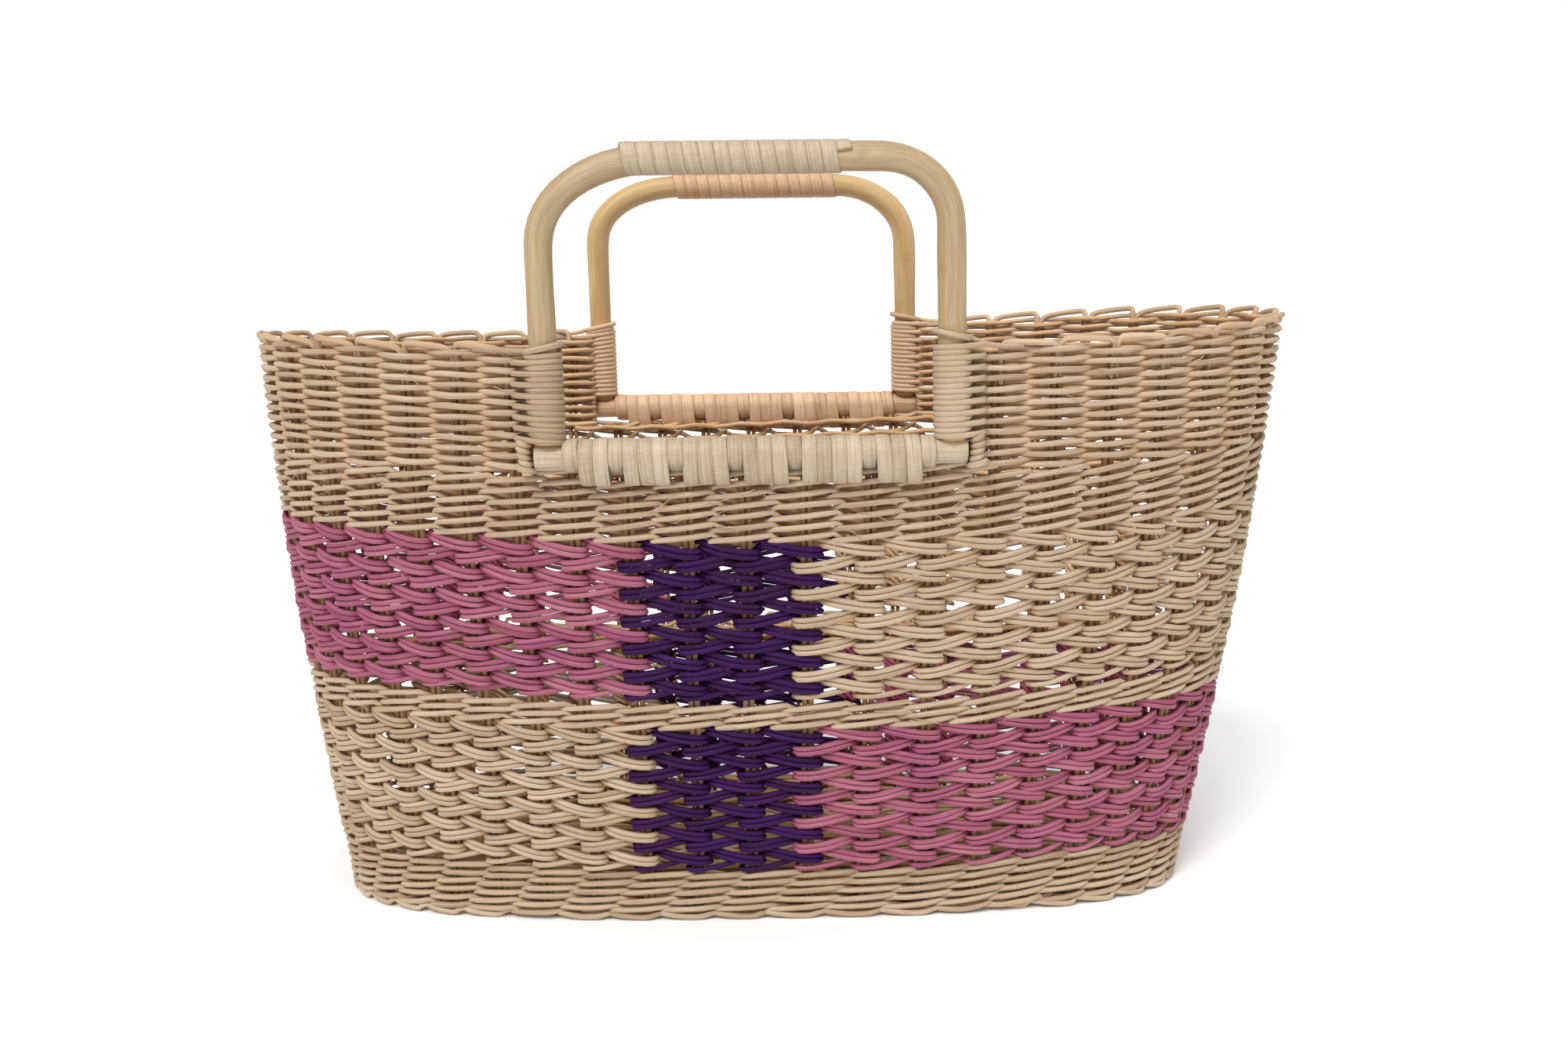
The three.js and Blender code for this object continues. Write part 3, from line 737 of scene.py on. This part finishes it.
def floor_weave(pairs):
    rods = Sweeps()
    cross_x = np.sort([float(wall(near, 0, CORE)[0]) for near, _, is_long in pairs if not is_long])
    long_y = [float((wall(near, STAKE_FOOT, CORE)[1] + wall(far, STAKE_FOOT, CORE)[1]) / 2)
              for near, far, is_long in pairs if is_long]
    depth, length = float(half_depth(0)) - FLOOR_INSET_Y, float(half_length(0)) - FLOOR_INSET_X
    count = int(2 * depth / FLOOR_PITCH)
    for row in range(count):
        y = -depth + (row + 0.5) * 2 * depth / count
        reach = length * (1 - abs(y / depth) ** BASE_POWER) ** (1 / BASE_POWER)
        if reach < SHORTEST_REACH or min(abs(y - other) for other in long_y) < STAKE_CLEARANCE:
            continue
        x = np.arange(-reach, reach, FLOOR_STEP) + BASE_SHIFT
        place = np.interp(x, cross_x, np.arange(len(cross_x)))
        beyond = (np.minimum(x - cross_x[0], 0) + np.maximum(x - cross_x[-1], 0)) / STAKE_GAP
        z = FLOOR_LEVEL + 2.3 * np.cos(math.pi * (place + beyond + row % 2))
        wave = 0.3 * np.sin(x * 0.05 + row)
        # inner=0.6 gives the floor rods part of the material's painted inside light and shade.
        rods.add(np.stack([x, y + wave, z], axis=-1), STAKE_ROD, Z_AXIS, inner=0.6)
    rods.make("floor_rods", NATURAL, "natural_rattan", ["base_weave"])


# ---- Handles ----
CORNER_LOW = GRIP_Z - 30  # about where the legs begin to bend inwards
CANE_SIDES = 16
GRIP_PITCH = 6.5
GRIP_STEPS = 22
# The strips round a bar, from its left end: S is short, and L reaches down round the last row.
BAR_PATTERN = "SLLSLLLSLLLSLLLSLLLLSLLLS"
FIRST_STRIP, LAST_STRIP = 13, 14.5  # from the left end of a bar to them, and from the right end
LONG_REACH = 6.3
STRIP_STEPS = 26
WRAP_PITCH = 2.46
WRAP_STEPS = 18
LEG_TOP_LEFT, LEG_TOP_RIGHT = 285.4, 289.2
KNOT_LOOPS = 5


def bow_line(left_corner, right_corner):
    """The middle line of a bent cane handle in its own plane, left foot first."""
    foot = BAR_Z + BAR_RADIUS - 0.8
    left, right = SKEW - LEG_X, SKEW + LEG_X
    turn = np.linspace(0, math.pi / 2, 12, endpoint=False)
    (left_across, left_high), (right_across, right_high) = left_corner, right_corner
    low, high = GRIP_Z - left_high, GRIP_Z - right_high
    points = [
        np.linspace((-FOOT_X, foot), (left, low), 16, endpoint=False),
        np.stack([left + left_across * (1 - np.cos(turn)), low + left_high * np.sin(turn)], axis=-1),
        np.linspace((left + left_across, GRIP_Z), (right - right_across, GRIP_Z), 20, endpoint=False),
        np.stack([right - right_across * (1 - np.sin(turn)), high + right_high * np.cos(turn)], axis=-1),
        np.linspace((right, high), (FOOT_X, foot), 17)]
    line = np.concatenate(points)
    for _ in range(2):
        line[1:-1] = (line[:-2] + 2 * line[1:-1] + line[2:]) / 4
    return line


def bent_cane(name, y0, corners, material, phase):
    flat = bow_line(*corners)
    wobble = 0.5 * np.sin(flat[:, 0] * 0.05 + phase) * np.sin(flat[:, 1] * 0.03)
    path = np.stack([flat[:, 0] + HANDLE_X, y0 + wobble, flat[:, 1]], axis=-1)
    at = np.arange(len(path))
    thick = CANE_RADIUS * (1 + 0.018 * np.sin(at * 0.31 + phase) + 0.012 * np.sin(at * 0.83))
    bow = Sweeps()
    bow.add(path, thick, (0, 1, 0), ring_section(CANE_SIDES), round_ends=False)
    bow.make(name + "_bent_cane", material, "cane", [name + "_handle_bow"])


def cross_bar(name, y0, material, phase):
    x = np.concatenate([[BAR_LEFT, BAR_LEFT + 0.5], np.linspace(BAR_LEFT + 4, BAR_RIGHT - 4, 30),
                        [BAR_RIGHT - 0.5, BAR_RIGHT]]) + HANDLE_X
    thick = BAR_RADIUS * (1 + 0.02 * np.sin(x * 0.11 + phase))
    thick[[0, -1]] -= 0.6
    line = np.stack([x, y0 + 0.3 * np.sin(x * 0.03), BAR_Z + 0.5 * np.sin(x * 0.02 + phase)], axis=-1)
    bar = Sweeps()
    bar.add(line, thick, Z_AXIS, ring_section(CANE_SIDES), round_ends=False)
    bar.make(name + "_cross_bar", material, "cane", [name + "_handle_bar"])


def grip_peel(name, y0, grip, material):
    """One strip wound round the grip, from end to end."""
    turns = (grip[1] - grip[0]) / GRIP_PITCH
    angle = np.linspace(0, 2 * math.pi * turns, int(turns * GRIP_STEPS))
    x = grip[0] + GRIP_PITCH * angle / (2 * math.pi) + HANDLE_X
    radius = CANE_RADIUS + 0.15
    line = np.stack([x, y0 + radius * np.cos(angle), GRIP_Z + radius * np.sin(angle)], axis=-1)
    up = np.stack([0 * x, np.cos(angle), np.sin(angle)], axis=-1)
    wrap = Sweeps()
    wrap.add(line, 1.0, up, strip_section(GRIP_PITCH * 1.02, 0.8), round_ends=False)
    wrap.make(name + "_grip_peel", material, "peel", [name + "_grip_wrap"])


def bar_peel(name, y0, lean, material):
    """Strips round the bar, one for each letter of the pattern, that lean to the right by lean."""
    start, stop = BAR_LEFT + FIRST_STRIP + HANDLE_X, BAR_RIGHT - LAST_STRIP + HANDLE_X
    step = (stop - start) / len(BAR_PATTERN)
    turn = circle(STRIP_STEPS)
    up = np.stack([0 * turn, np.cos(turn), np.sin(turn)], axis=-1)
    strips = Sweeps()
    for i, kind in enumerate(BAR_PATTERN):
        x = start + (i + 0.5) * step
        reach = BAR_RADIUS + 0.35 + 0.3 * random.random()
        y = y0 + reach * np.cos(turn)
        z = BAR_Z + reach * np.sin(turn)
        if kind == "L":
            z = z - LONG_REACH * np.maximum(0, -np.sin(turn)) ** 0.55
        own_lean = random.normal(0, 0.15) + lean
        line = np.stack([x + own_lean * (BAR_Z - z) / 7, y, z], axis=-1)
        strips.add(line, 1.0, up, strip_section(step * 1.04, 0.9 + 0.3 * random.random()), closed=True)
    strips.make(name + "_bar_peel", material, "peel", [name + "_bar_binding"])


def handle(name, side, corners, grip, cane, peel, rod, lean, phase):
    """side is -1 at the front and 1 at the back, and grip says from where to where its peel runs.
    cane, peel and rod are the materials of the bow, the strips and bar, and the bindings."""
    y0 = side * HANDLE_Y
    bent_cane(name, y0, corners, cane, phase)
    cross_bar(name, y0, peel, phase)
    grip_peel(name, y0, grip, peel)
    bar_peel(name, y0, lean, peel)
    for end, sign in (("left", -1), ("right", 1)):
        leg_binding(name + "_" + end, side, sign, rod)
        corner_knot(name + "_" + end, side, sign, rod)


def leg_middle(sign, z):
    """The place along X of a leg's middle at this height."""
    share = np.clip((np.asarray(z) - BAR_Z) / (CORNER_LOW - BAR_Z), 0, 1)
    return HANDLE_X + sign * (FOOT_X + (LEG_X - FOOT_X) * share) + SKEW * share


def leg_binding(prefix, side, sign, material):
    """A rod wound round the leg. Every second turn reaches out round the next stake's rods."""
    y0 = side * HANDLE_Y
    leg = Sweeps()
    low, high = BAR_Z + BAR_RADIUS + 0.6, LEG_TOP_LEFT if sign < 0 else LEG_TOP_RIGHT
    angle = np.arange(int((high - low) / WRAP_PITCH) * WRAP_STEPS) * 2 * math.pi / WRAP_STEPS
    turn = (angle / (2 * math.pi)).astype(int)
    z = low + WRAP_PITCH * angle / (2 * math.pi)
    radius = CANE_RADIUS + 1.15
    outwards = np.maximum(0, -np.cos(angle))
    is_long = turn % 2 == 0
    reach = 6.8 * is_long * outwards**1.3
    x = leg_middle(sign, z) - sign * (radius * np.cos(angle) - reach)
    y = y0 + side * radius * np.sin(angle) * (1 - 0.3 * is_long * outwards**2) - side * 0.24 * reach
    slant = (1.5 * (z - low) / (high - low) - 0.5) * (np.cos(angle) if sign < 0 else -0.5)
    leg.add(np.stack([x, y, z + slant], axis=-1), STAKE_ROD, Z_AXIS)
    around = circle(28)
    top_x = float(leg_middle(sign, high))
    ring = np.stack([top_x + (radius + 0.4) * np.cos(around), y0 + (radius + 0.4) * np.sin(around),
                     high + 1.2 - sign * 1.7 * np.cos(around)], axis=-1)
    leg.add(ring, BAND_ROD, Z_AXIS, closed=True)
    leg.add(tail_rod(side, sign, top_x, y0, high), 1.4, Z_AXIS)
    leg.make(prefix + "_leg_rod", material, "natural_rattan", [prefix + "_leg_binding"])


def tail_rod(side, sign, top_x, y0, high):
    """The rod that runs from the binding's top turn down to the top row of the end panel."""
    places = np.linspace(0, 10, 200) * sign
    if side > 0:
        places = -LEFT_STAKES - places if sign < 0 else RIGHT_STAKES - places
    rim = wall(places, PANEL_TOP, -1.9)
    distance = np.array([7.0, 10.0, 14.0, 19.0, 25.0, 32.0])
    x = top_x + sign * distance
    order = np.argsort(rim[:, 0])
    y_rim = np.interp(x, rim[order, 0], rim[order, 1])
    z_rim = np.interp(x, rim[order, 0], rim[order, 2])
    share = np.array([0.0, 0.25, 0.6, 0.85, 1.0, 1.0])
    y = (y0 + side * 1.5) * (1 - share) + y_rim * share
    z = (high - 0.3) * (1 - share) + (z_rim + 1.3) * share
    return np.stack([x, y, z], axis=-1)


def corner_knot(prefix, side, sign, material):
    """Loops stacked at the end of the bar, the lowest one bigger, that stand for a small plait."""
    y0 = side * HANDLE_Y
    knot = Sweeps()
    bar_end = HANDLE_X + (BAR_LEFT if sign < 0 else BAR_RIGHT)
    around = circle(14)
    for k in range(KNOT_LOOPS):
        width, thick = (2.3, STAKE_ROD) if k < KNOT_LOOPS - 1 else (3.4, 1.6)
        middle = (bar_end + sign * 4.2 + random.normal(0, 0.25), y0 + side * 0.4, BAR_Z + 5.8 - 2.8 * k)
        ring = np.array(middle) + np.stack([width * np.cos(around), 4.3 * np.sin(around),
                                            0.9 * sign * np.cos(around)], axis=-1)
        knot.add(ring, thick, Z_AXIS, closed=True)
    knot.make(prefix + "_corner_knot", material, "natural_rattan", [prefix + "_corner_lashing"])


# ---- The basket ----
bottom_band()
twined_band("middle_waling", [MIDDLE_LOW + MIDDLE_PITCH * i for i in range(MIDDLE_ROWS)], 3.4, 4.1,
            ["middle_band_left", "middle_band_right"])
twined_band("top_waling", [TOP_LOW + TOP_PITCH * i for i in range(TOP_ROWS)], 3.9, 3.95,
            ["upper_band_left", "upper_band_right"], edge=EDGE_SPANS)
natural_block = ("natural", NATURAL, "natural_rattan")
pink_block = ("pink", PINK, "pink_rattan")
lattice("lower", top=99.3, pitch=13.2, rows=6, radius=1.29, last_drop=5.5,
        blocks=dye_blocks(natural_block, pink_block))
lattice("upper", top=193.0, pitch=13.55, rows=6, radius=1.34, last_drop=4.3,
        blocks=dye_blocks(pink_block, natural_block))
end_panel("left", -20.0, -4.0)
end_panel("right", 3.0, 19.0)
rim_border("left", -20, -5)
rim_border("right", 3, 18)
floor_weave(stakes())
handle("front", -1, corners=((50, 35), (30, 28)), grip=(-52, 42), cane=CANE_FRONT, peel=PEEL,
       rod=NATURAL, lean=0.35, phase=0.4)
handle("back", 1, corners=((46, 30), (40, 32)), grip=(-44, 48), cane=CANE_BACK, peel=PEEL_BACK,
       rod=BOUNCE_LIT, lean=0.7, phase=2.1)


# ---- Floor, light and camera, in metres and degrees ----
FLOOR_REACH = 40.0
WHITE = (1, 1, 1, 1)
SKY_SEEN, SKY_LIGHT = 1.0, 0.5  # the world's strength to the camera, and as a light
SUNS = (  # name, direction, angle and strength
    ("key_sun", (0.35, 0.62, -0.75), 24, 2.05),
    ("fill_sun", (-0.6, 0.3, -0.6), 60, 0.62),
    ("top_sun", (0.05, 0.12, -1), 50, 0.85))
CAMERA_PLACE = (-0.0013, -0.7069, 0.3205)
CAMERA_LENS, SENSOR_WIDTH = 31.5, 36  # millimetres
CAMERA_PITCH, CAMERA_YAW, CAMERA_ROLL = 10.6, 0.5, -0.7


def plain_material(name, colour, roughness):
    n = Nodes(name)
    n.shade("Base Color", colour)
    n.shade("Roughness", roughness)
    return n.material


def studio_floor():
    mesh = bpy.data.meshes.new("studio_floor")
    reach = FLOOR_REACH
    corners = [(-reach, -reach, 0), (reach, -reach, 0), (reach, reach, 0), (-reach, reach, 0)]
    mesh.from_pydata(corners, [], [(0, 1, 2, 3)])
    mesh.materials.append(plain_material("studio_floor", (0.94, 0.94, 0.94, 1), 0.9))
    ground = bpy.data.objects.new("studio_floor", mesh)
    bpy.context.scene.collection.objects.link(ground)


def sky():
    """A world that is white to the camera, and lights the basket less than that."""
    world = bpy.data.worlds.new("studio_world")
    bpy.context.scene.world = world
    world.use_nodes = True
    nodes, links = world.node_tree.nodes, world.node_tree.links
    seen = nodes["Background"]
    lit = nodes.new("ShaderNodeBackground")
    for background, strength in ((seen, SKY_SEEN), (lit, SKY_LIGHT)):
        background.inputs["Color"].default_value = WHITE
        background.inputs["Strength"].default_value = strength
    rays = nodes.new("ShaderNodeLightPath")
    mix = nodes.new("ShaderNodeMixShader")
    links.new(rays.outputs["Is Camera Ray"], mix.inputs[0])
    links.new(lit.outputs[0], mix.inputs[1])
    links.new(seen.outputs[0], mix.inputs[2])
    links.new(mix.outputs[0], nodes["World Output"].inputs["Surface"])


def suns():
    for name, direction, angle, strength in SUNS:
        light = bpy.data.lights.new(name, "SUN")
        light.angle = math.radians(angle)
        light.energy = strength
        lamp = bpy.data.objects.new(name, light)
        lamp.rotation_euler = Vector(direction).to_track_quat("-Z", "Y").to_euler()
        bpy.context.scene.collection.objects.link(lamp)


def camera():
    data = bpy.data.cameras.new("camera")
    data.lens = CAMERA_LENS
    data.sensor_width = SENSOR_WIDTH
    made = bpy.data.objects.new("camera", data)
    pitch, yaw, roll = math.radians(CAMERA_PITCH), math.radians(CAMERA_YAW), math.radians(CAMERA_ROLL)
    forward = Vector((math.sin(yaw) * math.cos(pitch), math.cos(yaw) * math.cos(pitch), -math.sin(pitch)))
    level = Vector((math.cos(yaw), -math.sin(yaw), 0))
    upright = level.cross(forward)
    right = math.cos(roll) * level + math.sin(roll) * upright
    up = -math.sin(roll) * level + math.cos(roll) * upright
    turn = Matrix((right, up, -forward)).transposed().to_4x4()
    made.matrix_world = Matrix.Translation(CAMERA_PLACE) @ turn
    bpy.context.scene.collection.objects.link(made)
    bpy.context.scene.camera = made


studio_floor()
sky()
suns()
camera()
bpy.context.scene.view_settings.view_transform = "Standard"
